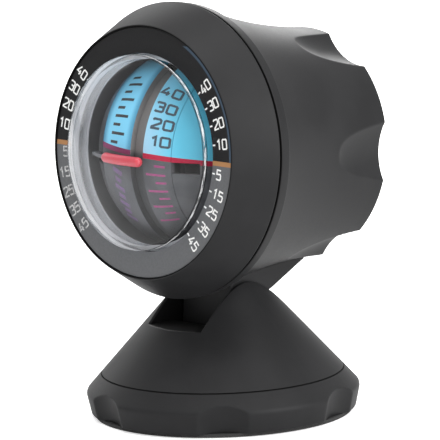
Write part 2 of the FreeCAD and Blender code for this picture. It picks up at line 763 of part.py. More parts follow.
def make_caps():
    inner_ball = "(ball_radius - cap_wall)"
    far = "2 * ball_radius"
    notch_half = "(bridge_half + bridge_fit)"
    slice_box = box("cap_slice", (CAP_FACE, f"-{far}", f"-{far}"), (far, far, far))
    cap = cut(
        "right_cap",
        common("cap_blank", sphere("cap_outside", "ball_radius", "x"), slice_box),
        sphere("cap_inside", inner_ball, "x"),
        cylinder("cap_seat", "side_plate_radius + cap_seat_fit", "0", PLATE_FACE, "x"),
        box("cap_notch", ("0", "0", f"-{notch_half}"), (PLATE_FACE, far, notch_half)),
        box("cap_window", ("0", f"-{far}", "-window_top - window_tall"),
            ("window_right", f"-{inner_ball} / 2", "-window_top")))
    right = finish_node(cap, "right_cap", "ball")
    left = document.addObject("Part::Mirroring", "left_cap")
    left.Source = right
    left.Normal = Vector(1, 0, 0)
    left.Label = "left_cap"
    nodes.append(left)


def make_roll_yoke():
    """Two round side plates joined by a bridge behind the drum."""
    bar = box("bridge_bar", (f"-{PLATE_FACE}", "0", "-bridge_half"),
              (PLATE_FACE, f"{BRIDGE_OUTER} + 1", "bridge_half"))
    plates = cylinder("side_plates", "side_plate_radius", f"-{PLATE_FACE}", PLATE_FACE, "x")
    blank = common("yoke_blank", sphere("bridge_outside", BRIDGE_OUTER, "x"), fuse("yoke_bar", plates, bar))
    drum_room = common("drum_room", sphere("bridge_inside", BRIDGE_INNER, "x"),
                       cylinder("drum_slab", BRIDGE_OUTER, f"-{CAP_FACE}", CAP_FACE, "x"))
    bushes = cylinder("yoke_bush_holes", "pitch_bearing_radius + press_play", f"-{PLATE_FACE}",
                      PLATE_FACE, "x")
    sink = cylinder("yoke_axle_sink", "roll_axle_head_radius + shaft_play", "0", AXLE_SEAT, "y")
    hole = cylinder("yoke_axle_hole", "roll_axle_radius + press_play", "0", f"{BRIDGE_OUTER} + 1", "y")
    finish_node(cut("roll_yoke", blank, drum_room, bushes, sink, hole), "roll_yoke", "ball")


def make_roll_axle():
    head = cylinder("axle_head", "roll_axle_head_radius", f"{AXLE_SEAT} - roll_axle_head_thick", AXLE_SEAT, "y")
    shank = cylinder("axle_shank", "roll_axle_radius", AXLE_SEAT, f"{CLIP_BACK} + roll_axle_end", "y")
    finish_node(fuse("roll_axle", head, shank), "roll_axle", "ball")
    clip = tube("clip_tube", "clip_radius", "roll_axle_radius + press_play", CLIP_FRONT, CLIP_BACK, "y")
    finish_node(clip, "roll_axle_clip", "ball")


def weight(name, radius, top, start, end):
    """A round slug along X with its top cut off, so that its mass hangs low."""
    disc = cylinder(f"{name}_disc", radius, start, end, "x")
    low = box(f"{name}_low", (start, f"-({radius})", f"-({radius})"), (end, radius, f"-({top})"))
    return common(name, disc, low)


def weight_pair(label, frame, radius, top, near, far):
    left = weight(f"{label}_left", radius, top, f"-({far})", f"-({near})")
    right = weight(f"{label}_right", radius, top, near, far)
    finish_node(combine("Compound", label, [left, right]), label, frame)


def make_pitch_bearings():
    bushes = []
    for side, sign in (("left", -1), ("right", 1)):
        near, far = CAP_FACE, f"({PLATE_FACE} + pitch_bearing_proud)"
        start, end = (near, far) if sign > 0 else (f"-{far}", f"-{near}")
        outer = cylinder(f"pitch_bush_{side}", "pitch_bearing_radius", start, end, "x")
        bore = cylinder(f"pitch_bush_bore_{side}", "pitch_axle_radius + shaft_play", start, end, "x")
        bushes.append(cut(f"pitch_bearing_{side}", outer, bore))
    finish_node(combine("Compound", "pitch_bearings", bushes), "pitch_bearings", "ball")


def bend(body, name, radius, reach, left, right):
    """A round bar bent about the ball's upright axis, from left to right of the front."""
    section = circle_sketch(body, f"{name}_section", "YZ_Plane", radius, f"-{reach}", "0")
    bar = body.newObject("PartDesign::Revolution", name)
    bar.Profile = section
    bar.ReferenceAxis = (section, ["V_Axis"])
    bar.Type = "TwoAngles"
    bind(bar, Angle=right, Angle2=left)
    body.Tip = bar


def make_pointer_bar():
    """A rounded bar that follows the ball, on a thin arm whose foot stands on the left cap."""
    body = new_body("pointer_bar")
    reach = "(ball_radius + pointer_gap + pointer_radius)"
    bend(body, "pointer_bend", "pointer_radius", reach, "pointer_left", "pointer_right")
    for side, angle in (("left", "-pointer_left"), ("right", "pointer_right")):
        end = body.newObject("PartDesign::AdditiveSphere", f"pointer_end_{side}")
        bind(end, Radius="pointer_radius", Placement__Base__x=f"{reach} * sin({angle})",
             Placement__Base__y=f"-{reach} * cos({angle})")
        body.Tip = end
    bend(body, "arm_bend", "arm_radius", reach, "arm_end", "0.5")
    foot = body.newObject("PartDesign::AdditiveCylinder", "arm_foot")
    foot.AttachmentSupport = [(origin_plane(body, "XZ_Plane"), "")]
    foot.MapMode = "FlatFace"
    foot.AttachmentOffset = Placement(Vector(), Rotation(Vector(0, 1, 0), 1))
    near = "(ball_radius + arm_gap)"
    bind(foot, Radius="arm_radius", Height=f"{reach} + arm_radius - {near}",
         AttachmentOffset__Rotation__Angle="-arm_end",
         AttachmentOffset__Base__x=f"-{near} * sin(arm_end)",
         AttachmentOffset__Base__z=f"{near} * cos(arm_end)")
    body.Tip = foot
    finish_node(body, "pointer_bar", "pointer")


def make_pitch_drum():
    rim_inner = "(sqrt(ball_radius^2 - drum_half^2) - drum_rim_wall)"
    rim = "(ball_radius + drum_rim_wall)"
    bore = "(pitch_axle_radius + press_play)"
    hub_half = "(drum_half - drum_gap)"
    straight = turned_body("drum_body", "XY_Plane", [
        ("-drum_half", rim_inner),
        ("-drum_half", rim),
        ("groove_left", rim),
        ("groove_left", "ball_radius - groove_depth"),
        ("groove_right", "ball_radius - groove_depth"),
        ("groove_right", rim),
        ("drum_half", rim),
        ("drum_half", rim_inner),
        ("drum_web", rim_inner),
        ("drum_web", "drum_hub_radius"),
        (hub_half, "drum_hub_radius"),
        (hub_half, bore),
        (f"-{hub_half}", bore),
        (f"-{hub_half}", "drum_hub_radius"),
        ("-drum_web", "drum_hub_radius"),
        ("-drum_web", rim_inner)])
    drum = common("pitch_drum", straight, sphere("drum_crown", "ball_radius", "x"))
    finish_node(drum, "pitch_drum", "level ball")
    half = f"({PLATE_FACE} + pitch_bearing_proud + pitch_axle_end)"
    finish_node(turned_body("pitch_axle", "XY_Plane", [
        (f"-{half}", "0"),
        (f"-{half}", "pitch_axle_radius - axle_bevel"),
        (f"-{half} + axle_bevel", "pitch_axle_radius"),
        (f"{half} - axle_bevel", "pitch_axle_radius"),
        (half, "pitch_axle_radius - axle_bevel"),
        (half, "0")]), "pitch_axle", "level ball")
    weight_pair("pitch_weights", "level ball", f"{rim_inner} - pitch_weight_fit", "pitch_weight_top",
                "drum_web", "drum_web + pitch_weight_thick")


def check_and_write():
    """Stop on any failed object or shape, then write one file for each node."""
    document.recompute()
    failed = [item.Name for item in document.Objects if {"Invalid", "Error"} & set(item.State)]
    if failed:
        raise RuntimeError(f"failed objects: {failed}")
    for node in nodes:
        if node.Shape.isNull() or not node.Shape.isValid() or not node.Shape.Solids:
            raise RuntimeError(f"bad shape: {node.Label}")
    os.makedirs("parts", exist_ok=True)
    for node in nodes:
        node.Shape.exportStep(f"parts/{node.Label}.step")
        print(f"{node.Label:24} {len(node.Shape.Solids)} solids {node.Shape.Volume / 1000:8.3f} cm3")


make_adhesive_pad()
make_base_plate()
make_base_screws()
make_base_ring()
make_friction_ring()
make_base_cone()
make_tilt_hinge()
make_rear_shell()
make_rear_cover()
make_front_bezel()
make_face()
make_capsule()
make_caps()
make_roll_yoke()
make_roll_axle()
weight_pair("roll_weights", "ball", "roll_weight_radius", "roll_weight_top", PLATE_FACE,
            f"{PLATE_FACE} + roll_weight_thick")
make_pitch_bearings()
make_pointer_bar()
make_pitch_drum()
check_and_write()
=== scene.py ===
import math

import bmesh
import bpy
from mathutils import Matrix, Vector


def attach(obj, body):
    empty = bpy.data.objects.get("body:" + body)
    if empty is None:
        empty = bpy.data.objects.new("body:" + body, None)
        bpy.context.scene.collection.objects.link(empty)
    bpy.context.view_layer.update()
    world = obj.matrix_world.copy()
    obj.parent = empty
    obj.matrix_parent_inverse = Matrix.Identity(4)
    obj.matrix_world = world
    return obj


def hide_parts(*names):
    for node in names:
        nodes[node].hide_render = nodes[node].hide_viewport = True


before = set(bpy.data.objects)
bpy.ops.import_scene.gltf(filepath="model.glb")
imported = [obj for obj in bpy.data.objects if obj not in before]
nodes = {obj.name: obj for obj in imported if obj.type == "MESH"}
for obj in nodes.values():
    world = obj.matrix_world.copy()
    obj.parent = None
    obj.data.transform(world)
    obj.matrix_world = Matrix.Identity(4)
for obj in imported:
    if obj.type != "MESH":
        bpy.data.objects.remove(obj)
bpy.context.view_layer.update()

# Camera: a long lens a little above the meter and to its right, so that both the dial and
# the side of the head show. Its lens is given as the focal length in pixels of a 440 wide frame.
AZIMUTH, ELEVATION, ROLL = (math.radians(a) for a in (45.74, 10.35, -1.97))
DISTANCE, AIM_HEIGHT, AIM_ASIDE = 1.4391, 0.04519, 0.00058
FOCAL_PIXELS, FRAME_PIXELS, SENSOR_WIDTH = 6190.59, 440, 36
NEAREST, FARTHEST = 0.05, 50


def stand(name, data, place=Matrix.Identity(4)):
    """Puts a lens, a lamp or a mesh into the scene at its place."""
    thing = bpy.data.objects.new(name, data)
    bpy.context.scene.collection.objects.link(thing)
    thing.matrix_world = place
    return thing


back = Vector((math.sin(AZIMUTH) * math.cos(ELEVATION), -math.cos(AZIMUTH) * math.cos(ELEVATION),
               math.sin(ELEVATION)))
level = Vector((math.cos(AZIMUTH), math.sin(AZIMUTH), 0))
upward = back.cross(level)
right = level * math.cos(ROLL) + upward * math.sin(ROLL)
top = upward * math.cos(ROLL) - level * math.sin(ROLL)
lens = bpy.data.cameras.new("camera")
lens.sensor_width = SENSOR_WIDTH
lens.lens = FOCAL_PIXELS * SENSOR_WIDTH / FRAME_PIXELS
lens.clip_start, lens.clip_end = NEAREST, FARTHEST
stance = Vector((0, 0, AIM_HEIGHT)) + level * AIM_ASIDE + back * DISTANCE
bpy.context.scene.camera = stand(
    "camera", lens, Matrix.Translation(stance) @ Matrix((right, top, back)).transposed().to_4x4())
bpy.context.scene.view_settings.view_transform = "Standard"

# Studio: a pale table in an even white room that the camera sees as plain white, with large
# soft lamps to the left, the right, behind and overhead. The table keeps the meter's shadow.
FLOOR_HALF, FLOOR_TOP = 3.0, -0.0002
ROOM_LIGHT, TABLE_GLOW = 0.74, 0.55
LAMP_AIM = Vector((0, 0, 0.05))


class Signal:
    """One socket of a material. Sums and comparisons of signals add Math nodes to it."""

    def __init__(self, finish, socket):
        self.finish, self.socket = finish, socket

    def work(self, operation, *others):
        values = dict(enumerate((self, *others)))
        return self.finish.add("ShaderNodeMath", {"operation": operation}, values)

    def __add__(self, other):
        return self.work("ADD", other)

    def __sub__(self, other):
        return self.work("SUBTRACT", other)

    def __rsub__(self, other):
        return self.work("MULTIPLY", -1.0) + other

    def __mul__(self, other):
        return self.work("MULTIPLY", other)

    def __gt__(self, other):
        return self.work("GREATER_THAN", other)

    def __lt__(self, other):
        return self.work("LESS_THAN", other)

    def __abs__(self):
        return self.work("ABSOLUTE")

    __radd__, __rmul__ = __add__, __mul__

    def fade(self, low, high):
        """0 below low, 1 above high, smooth between; the other way round if low is above high."""
        return self.finish.add("ShaderNodeMapRange", {"interpolation_type": "SMOOTHSTEP"},
                               {"Value": self, "From Min": low, "From Max": high})


class Finish:
    """One material, or the world, built from its first node up and closed by its surface."""

    def __init__(self, name, holder=None):
        self.holder = holder or bpy.data.materials.new(name)
        self.holder.use_nodes = True
        self.tree = self.holder.node_tree
        self.tree.nodes.clear()

    def add(self, kind, settings=None, sockets=None, out=0):
        node = self.tree.nodes.new(kind)
        for key, value in (settings or {}).items():
            setattr(node, key, value)
        for key, value in (sockets or {}).items():
            if isinstance(value, Signal):
                self.tree.links.new(value.socket, node.inputs[key])
            else:
                node.inputs[key].default_value = value
        return Signal(self, node.outputs[out]) if len(node.outputs) else None

    def millimetres(self, centre=(0, 0, 0), turn=0.0):
        """The piece's own coordinates in millimetres, about a centre and turned about X."""
        own = self.add("ShaderNodeTexCoord", out="Object")
        moved = self.add("ShaderNodeVectorMath", {"operation": "SUBTRACT"}, {0: own, 1: centre})
        scaled = self.add("ShaderNodeVectorMath", {"operation": "SCALE"},
                          {0: moved, "Scale": 1000.0})
        if not turn:
            return scaled
        return self.add("ShaderNodeVectorRotate", {"rotation_type": "X_AXIS"},
                        {"Vector": scaled, "Angle": turn})

    def axes(self, point):
        return [self.add("ShaderNodeSeparateXYZ", None, {0: point}, out=i) for i in range(3)]

    def joined(self, **axes):
        return self.add("ShaderNodeCombineXYZ", None, axes)

    def reach(self, x, y):
        """How far a place is from the axis."""
        return self.add("ShaderNodeVectorMath", {"operation": "LENGTH"},
                        {0: self.joined(X=x, Y=y)}, out="Value")

    def noise(self, point, scale, detail=2.0, roughness=0.5):
        return self.add("ShaderNodeTexNoise", None, {"Vector": point, "Scale": scale,
                                                     "Detail": detail, "Roughness": roughness})

    def blend(self, factor, first, second):
        return self.add("ShaderNodeMix", {"data_type": "RGBA"}, {0: factor, 6: first, 7: second},
                        out=2)

    def bump(self, height, depth, strength=1.0):
        """depth is in millimetres."""
        return self.add("ShaderNodeBump", None, {"Height": height, "Distance": depth / 1000,
                                                 "Strength": strength})

    def surface(self, **sockets):
        return self.add("ShaderNodeBsdfPrincipled", None,
                        {key.replace("_", " "): value for key, value in sockets.items()})

    def tinted(self, colour):
        """A clear body that colours what is seen through it."""
        return self.add("ShaderNodeBsdfTransparent", None, {"Color": paint(colour)})

    def mix(self, factor, first, second):
        return self.add("ShaderNodeMixShader", None, {0: factor, 1: first, 2: second})

    def watched(self):
        """1 where the camera looks at the surface, also through clear plastic."""
        direct = self.add("ShaderNodeLightPath", out="Is Camera Ray")
        return direct.work("MAXIMUM", self.add("ShaderNodeLightPath", out="Is Transmission Ray"))

    def close(self, shader, kind="ShaderNodeOutputMaterial"):
        self.add(kind, None, {"Surface": shader})
        return self.holder


def paint(code):
    """The linear colour of an sRGB code such as 2b2b2b."""
    parts = [int(code[i:i + 2], 16) / 255 for i in (0, 2, 4)]
    return [p / 12.92 if p <= 0.04045 else ((p + 0.055) / 1.055) ** 2.4 for p in parts] + [1.0]


white = paint("ffffff")
studio = bpy.data.worlds.new("studio")
bpy.context.scene.world = studio
air = Finish("studio", studio)
plain = air.add("ShaderNodeBackground", None, {"Color": white, "Strength": 1.0})
soft = air.add("ShaderNodeBackground", None, {"Color": white, "Strength": ROOM_LIGHT})
air.close(air.mix(air.watched(), soft, plain), "ShaderNodeOutputWorld")

card = Finish("pale_table")
grain = card.noise(card.millimetres(), 0.4)
sheet = card.surface(Base_Color=card.blend(grain, paint("f2f2f2"), paint("fafafa")), Roughness=0.9)
glow = card.add("ShaderNodeEmission", None, {"Color": white, "Strength": TABLE_GLOW})
both = card.add("ShaderNodeAddShader", None, {0: sheet, 1: glow})
table_mesh = bpy.data.meshes.new("table")
table_mesh.from_pydata([(u * FLOOR_HALF, v * FLOOR_HALF, FLOOR_TOP)
                        for u, v in ((-1, -1), (1, -1), (1, 1), (-1, 1))], [], [(0, 1, 2, 3)])
table_mesh.materials.append(card.close(card.mix(card.watched(), sheet, both)))
table = stand("table", table_mesh)


def soft_lamp(name, place, width, height, power):
    """A large flat lamp that faces the middle of the meter."""
    lamp = bpy.data.lights.new(name, "AREA")
    lamp.shape, lamp.size, lamp.size_y, lamp.energy = "RECTANGLE", width, height, power
    facing = (LAMP_AIM - Vector(place)).to_track_quat("-Z", "Y").to_matrix().to_4x4()
    stand(name, lamp, Matrix.Translation(place) @ facing)


soft_lamp("lamp_left", (-1.0, 0.1, 0.5), 0.6, 0.8, 1.8)
soft_lamp("lamp_back", (-0.7, 0.8, 0.5), 0.5, 0.5, 5.0)
soft_lamp("lamp_right", (1.0, 0.1, 0.5), 0.6, 0.9, 11.2)
soft_lamp("lamp_top", (0.1, -0.05, 1.1), 0.8, 0.8, 7.6)


# Adhesive pad: a disc of black foam tape under the base, with open cells in its faces. It
# sticks the meter flat to the dashboard.
def wear(obj, *materials):
    obj.data.materials.clear()
    for material in materials:
        obj.data.materials.append(material)


def dress(node, material):
    wear(nodes[node], material)


foam = Finish("foam_tape")
cells = foam.add("ShaderNodeTexVoronoi", None, {"Vector": foam.millimetres(), "Scale": 3.0})
dress("adhesive_pad", foam.close(foam.surface(
    Base_Color=foam.blend(cells.fade(0.0, 0.6), paint("1d1d1d"), paint("2c2c2c")),
    Roughness=0.85, Normal=foam.bump(cells, 0.08, 0.5))))

# Base ring: the scalloped collar that is turned by hand under the cone, over a plain plate. It is
# black ABS moulded against a spark-finished tool: a fine matt grain with a faint sheen, a little
# greyer where hands have polished it. The open seams between mouldings carry painted shade: their
# faces take a near black material.
MM = 0.001
# GAP_EDGE: how far inside an edge the painted shade of a gap starts.
GAP_EDGE = 0.12
BASE_FOOT, BASE_CORNER, BASE_CORNER_HEIGHT, PAD = 30.9, 32.0, 5.8, 0.8
SEAM_HEIGHT, SEAM_RADIUS_BASE, BASE_BORE, LIP_BORE, LIP_UNDER = 9.9, 28.35, 25.8, 24.6, 5.6
BASE_SCALLOP, BASE_SCALLOP_DEPTH, BASE_SCALLOP_SOFTNESS = 15.0, 1.8, 0.15
BASE_SCALLOP_TURN = math.radians(15)
SCALLOPS = 6
FLANK_STEP = 0.35
SCALLOPED_STEPS = 576
CORNER_STEPS, CORNER_SHARE, NEARLY_STRAIGHT = 6, 0.48, 0.02
SHARP_ANGLE = math.radians(32)


def grained(finish, colour, polished):
    """The slow clouds, the fine pits and the colour of moulded plastic."""
    point = finish.millimetres()
    cloud = finish.noise(point, 0.08, 3.0)
    pits = finish.noise(point, 2.2, 2.0, 0.6)
    shine = cloud.fade(0.35, 0.7) * 0.6 + pits * 0.25
    return point, cloud, pits, finish.blend(shine, paint(colour), paint(polished))


def moulded(name, colour, polished, roughness=0.5):
    black = Finish(name)
    _, cloud, pits, tint = grained(black, colour, polished)
    return black.close(black.surface(
        Base_Color=tint, Roughness=(cloud - 0.5) * 0.14 + (pits - 0.5) * 0.1 + roughness,
        Specular_IOR_Level=0.16, Normal=black.bump(pits, 0.02, 0.35)))


def shade(piece, inside):
    """Faces whose middle, as (height, radius), lies inside take the piece's second material."""
    for polygon in piece.data.polygons:
        if inside(polygon.center.z / MM, polygon.center.xy.length / MM):
            polygon.material_index = 1


def soften(corners):
    """A closed outline of (along, radius, rounding) corners, each rounded by its own radius."""
    smooth = []
    for i, (x, y, size) in enumerate(corners):
        here = Vector((x, y))
        before = Vector(corners[i - 1][:2]) - here
        after = Vector(corners[(i + 1) % len(corners)][:2]) - here
        turn = before.angle(after) if size else 0
        if not size or math.pi - turn < NEARLY_STRAIGHT:
            smooth.append(here)
            continue
        reach = min(size / math.tan(turn / 2), before.length * CORNER_SHARE,
                    after.length * CORNER_SHARE)
        start, end = here + before.normalized() * reach, here + after.normalized() * reach
        for k in range(CORNER_STEPS + 1):
            t = k / CORNER_STEPS
            smooth.append(start * (1 - t) ** 2 + here * (2 * t * (1 - t)) + end * t ** 2)
    return smooth


def finer(points, step):
    """The same outline with a point at least every step."""
    whole = [points[0]]
    for point in points[1:]:
        run = point - whole[-1]
        parts = max(1, math.ceil(run.length / step))
        start = whole[-1]
        whole += [start + run * (k / parts) for k in range(1, parts + 1)]
    return whole


def skin(name, rows, place, steps):
    """A closed ring surface about local Z: each row is (height, radius) with the radius a number
    or a function of the angle; the last row joins the first."""
    points, faces = [], []
    for height, radius in rows:
        for k in range(steps):
            angle = 2 * math.pi * k / steps
            r = radius(angle) if callable(radius) else radius
            points.append((r * math.cos(angle) * MM, r * math.sin(angle) * MM, height * MM))
    for i in range(len(rows)):
        j = (i + 1) % len(rows)
        for k in range(steps):
            n = (k + 1) % steps
            faces.append((i * steps + k, i * steps + n, j * steps + n, j * steps + k))
    mesh = bpy.data.meshes.new(name)
    mesh.from_pydata(points, [], faces)
    body = bmesh.new()
    body.from_mesh(mesh)
    bmesh.ops.recalc_face_normals(body, faces=body.faces)
    body.to_mesh(mesh)
    body.free()
    mesh.set_sharp_from_angle(angle=SHARP_ANGLE)
    for polygon in mesh.polygons:
        polygon.use_smooth = True
    return stand(name, mesh, place)


def eased(first, second, softness):
    """The smaller of two radii, with the ridge between them rounded off."""
    share = max(softness - abs(first - second), 0) / softness
    return min(first, second) - share * share * softness / 4


def scalloped(body, centre, size, lean, turn, softness):
    """The radius of a body whose side is cut by six leaning cylinders, by angle."""
    pitch = 2 * math.pi / SCALLOPS

    def radius(angle):
        off = (angle - turn + pitch / 2) % pitch - pitch / 2
        a, b = size / math.cos(lean), size
        square = (math.cos(off) / a) ** 2 + (math.sin(off) / b) ** 2
        half = centre * math.cos(off) / a ** 2
        rest = half * half - square * (centre * centre / a ** 2 - 1)
        if rest <= 0:
            return body
        return eased(body, (half - math.sqrt(rest)) / square, softness)
    return radius


housing = moulded("housing_plastic", "1c1c1d", "242425")
gap_painted_shade = moulded("gap_painted_shade", "050505", "080808", 0.9)
flank_lean = math.atan((BASE_CORNER - BASE_FOOT) / (BASE_CORNER_HEIGHT - PAD))
scallop_foot = BASE_FOOT - BASE_SCALLOP_DEPTH + BASE_SCALLOP / math.cos(flank_lean)
flank = soften([
    (PAD, BASE_FOOT - 3, 0), (PAD, BASE_FOOT, 0.5), (BASE_CORNER_HEIGHT, BASE_CORNER, 1.6),
    (SEAM_HEIGHT, SEAM_RADIUS_BASE, 0.4), (SEAM_HEIGHT, LIP_BORE, 0)])
base_rows = []
for height, radius in finer(flank[1:-1], FLANK_STEP):
    centre = scallop_foot + (height - PAD) * math.tan(flank_lean)
    base_rows.append((height, scalloped(radius, centre, BASE_SCALLOP, flank_lean,
                                        BASE_SCALLOP_TURN, BASE_SCALLOP_SOFTNESS)))
base_rows += [(SEAM_HEIGHT, LIP_BORE), (LIP_UNDER, LIP_BORE), (LIP_UNDER, BASE_BORE),
              (PAD, BASE_BORE)]
collar = skin("base_collar", base_rows, Matrix.Identity(4), SCALLOPED_STEPS)
wear(collar, housing, gap_painted_shade)
# Painted shade: the faces at the top of the seam are near black.
shade(collar, lambda height, radius: height > SEAM_HEIGHT - GAP_EDGE)
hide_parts("base_ring")
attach(collar, "base")
dress("base_plate", housing)

# Cone: one moulding of the same plastic that turns in the base ring, slotted from its top for the
# head's stem. Inside the slot it is rougher, and painted shade makes it near black where the slot
# cuts into it.
CONE_APEX, CONE_SLOPE = 41.5, math.tan(math.radians(41.9))

flanks = Finish("cone_plastic")
point, cloud, pits, tint = grained(flanks, "1c1c1d", "242425")
x, y, z = flanks.axes(point)
# Painted shade: the deeper a place lies inside the cone's outer surface, the nearer black it is
# painted.
depth_in = z * -CONE_SLOPE + CONE_APEX * CONE_SLOPE - flanks.reach(x, y)
dress("base_cone", flanks.close(flanks.surface(
    Base_Color=flanks.blend(depth_in.fade(0.3, 1.0), tint, paint("080809")),
    Roughness=depth_in.fade(0.1, 1.2) * 0.4 + (cloud - 0.5) * 0.14 + 0.5,
    Specular_IOR_Level=0.16, Normal=flanks.bump(pits, 0.02, 0.35))))

# Head: everything in it is turned about the dial's own axis, so these pieces are built facing
# up in a dial frame: X to the reader's right, Y up the dial, Z out towards the reader.
HEAD_TILT = math.radians(5.4)
DIAL_CENTRE = (0, 0.0042442, 0.0618999)


def leaning(centre):
    """The dial frame, set at a centre in the head."""
    return (Matrix.Translation(centre) @ Matrix.Rotation(-HEAD_TILT, 4, "X")
            @ Matrix.Rotation(math.pi / 2, 4, "X"))


def settle(piece):
    """Gives a tilted piece the meter's own axes, so that its box lies square to them."""
    piece.data.transform(piece.matrix_world)
    piece.matrix_world = Matrix.Identity(4)


DIAL = leaning(DIAL_CENTRE)

# Rear shell: the body of the head, moulded with a rolled front lip, a hollow waist and six finger
# scallops round its tail. A flat cover of the same plastic closes its back.
SEAM, LIP_FRONT, LIP_BACK, TAIL = 17.3, 16.9, 14.0, -25.3
LIP_FACE, LIP_RADIUS, LIP_ROLL = LIP_FRONT - 0.2, 34.3, 0.35
TAIL_RADIUS, TAIL_ROLL, WAIST_CURVE, WAIST_STEPS = 27.0, 0.2, 139.0, 76
WAIST_END, TAIL_CORNER = TAIL + 0.4, TAIL + 0.6
SPIGOT_FRONT, SPIGOT_RADIUS, SHELL_BORE, SHELL_BORE_END = 20.7, 30.5, 28.3, 4.0
COVER_SEAT, COVER_BORE, LEDGE_RADIUS, LEDGE_FRONT, LEDGE_BORE = -23.3, 22.55, 18.2, -19.3, 23.2
TAIL_SCALLOP, TAIL_SCALLOP_DEPTH, TAIL_SCALLOP_LENGTH, TAIL_SCALLOP_BEND = 13.5, 2.7, 17.3, 0.72
TAIL_SCALLOP_TURN, TAIL_SCALLOP_SOFTNESS = math.radians(0.6), 0.04


def waist(start, end):
    """Points on the hollow arc between two (height, radius) places."""
    a, b = Vector(start), Vector(end)
    chord = b - a
    out = Vector((-chord.y, chord.x)).normalized()
    if out.y < 0:
        out = -out
    centre = (a + b) / 2 + out * math.sqrt(WAIST_CURVE ** 2 - (chord.length / 2) ** 2)
    points = []
    for k in range(WAIST_STEPS + 1):
        p = a + chord * (k / WAIST_STEPS)
        points.append(centre + (p - centre).normalized() * WAIST_CURVE)
    return points


waist_start = (LIP_BACK - 0.6, LIP_RADIUS - 1.0)
arc = waist(waist_start, (WAIST_END, TAIL_RADIUS))
side = soften([(LIP_FACE, LIP_RADIUS - 3, 0), (LIP_FACE, LIP_RADIUS, LIP_ROLL),
               (LIP_BACK, LIP_RADIUS - 0.3, LIP_ROLL), (*waist_start, 0.9)]
              + [(p.x, p.y, 0) for p in arc[2:-1]]
              + [(TAIL, TAIL_RADIUS, TAIL_ROLL), (TAIL, COVER_BORE, 0)])[1:-1]
shell_rows = []
for height, radius in side:
    inset = max(0.0, TAIL_RADIUS - radius) if height < TAIL_CORNER else 0.0
    run = max(TAIL + TAIL_SCALLOP_LENGTH - height, 0)
    depth = TAIL_SCALLOP_DEPTH * (run / TAIL_SCALLOP_LENGTH) ** TAIL_SCALLOP_BEND
    cut = scalloped(radius + inset, radius + inset - depth + TAIL_SCALLOP, TAIL_SCALLOP, 0,
                    TAIL_SCALLOP_TURN, TAIL_SCALLOP_SOFTNESS)
    rounded = lambda angle, cut=cut, inset=inset: cut(angle) - inset
    shell_rows.append((height, rounded if run else radius))
shell_rows += [(TAIL, COVER_BORE), (COVER_SEAT, COVER_BORE), (COVER_SEAT, LEDGE_RADIUS),
               (LEDGE_FRONT, LEDGE_RADIUS), (LEDGE_FRONT, LEDGE_BORE), (SHELL_BORE_END, SHELL_BORE),
               (SPIGOT_FRONT, SHELL_BORE), (SPIGOT_FRONT, SPIGOT_RADIUS), (LIP_FACE, SPIGOT_RADIUS)]
shell = skin("head_shell", shell_rows, DIAL, SCALLOPED_STEPS)
wear(shell, housing, gap_painted_shade)
# Painted shade: the lip's front face in the seam groove is near black.
shade(shell, lambda height, radius: height > LIP_FRONT - 0.35 and radius < LIP_RADIUS - GAP_EDGE)
settle(shell)
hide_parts("rear_shell")
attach(shell, "head")
dress("rear_cover", housing)

# Stem: the flat neck moulded under the shell, which goes down into the cone's slot and ends in a
# round knuckle on the tilt pin. Its outline is in (out towards the reader, up the dial) places.
STEM_HALF, PIN_DROP, KNUCKLE, KNUCKLE_STEPS = 7.9, 45.1, 5.4, 16
STEM_FRONT = [(KNUCKLE, -29.4), (KNUCKLE, -PIN_DROP)]
STEM_BACK = [(-KNUCKLE, -PIN_DROP), (-KNUCKLE, -34.17), (-8.5, -32.7), (-18.9, -26.4),
             (-18.9, -25.0)]
STEM_EDGE, STEM_EDGE_STEPS, STEM_EDGE_ANGLE = 0.0006, 4, math.radians(25)

half_turn = [math.pi * k / KNUCKLE_STEPS for k in range(1, KNUCKLE_STEPS)]
profile = STEM_FRONT + [(KNUCKLE * math.cos(a), -PIN_DROP - KNUCKLE * math.sin(a))
                        for a in half_turn] + STEM_BACK
block = bmesh.new()
sides = []
for x in (-STEM_HALF, STEM_HALF):
    sides.append([block.verts.new((x * MM, y * MM, z * MM)) for z, y in profile])
block.faces.new(sides[0])
block.faces.new(list(reversed(sides[1])))
for i in range(len(profile)):
    j = (i + 1) % len(profile)
    block.faces.new((sides[0][i], sides[1][i], sides[1][j], sides[0][j]))
bmesh.ops.recalc_face_normals(block, faces=block.faces)
stem_mesh = bpy.data.meshes.new("head_stem")
block.to_mesh(stem_mesh)
block.free()
stem = stand("head_stem", stem_mesh, DIAL)
edges = stem.modifiers.new("edges", "BEVEL")
edges.width, edges.segments = STEM_EDGE, STEM_EDGE_STEPS
edges.limit_method, edges.angle_limit = "ANGLE", STEM_EDGE_ANGLE
edges.harden_normals = True
for polygon in stem_mesh.polygons:
    polygon.use_smooth = True
wear(stem, housing)
settle(stem)
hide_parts("rear_shell")
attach(stem, "head")

# Front bezel: the flared ring that snaps over the shell's spigot and frames the dial. The scale
# ring lies on the front of a shelf inside it, and the dome's flange is held behind the shelf.
FACE, RIM, RIM_RADIUS, BEZEL_RADIUS, RING_HOLE, GROOVE_FLOOR = 27.5, 27.8, 29.3, 34.5, 28.9, 33.4
GROOVE_BACK = LIP_FRONT - 0.15
SOCKET_BORE, SOCKET_END, THROAT_BORE = 30.7, 22.1, 28.2
SHELF_BORE, SHELF_BACK, SHELF_FRONT = 22.7, 25.8, 26.7
ROUND_STEPS = 384


def turned(name, corners):
    """A round piece of the dial, from an outline of (height, radius, rounding) corners."""
    return skin(name, [tuple(p) for p in soften(corners)], DIAL, ROUND_STEPS)


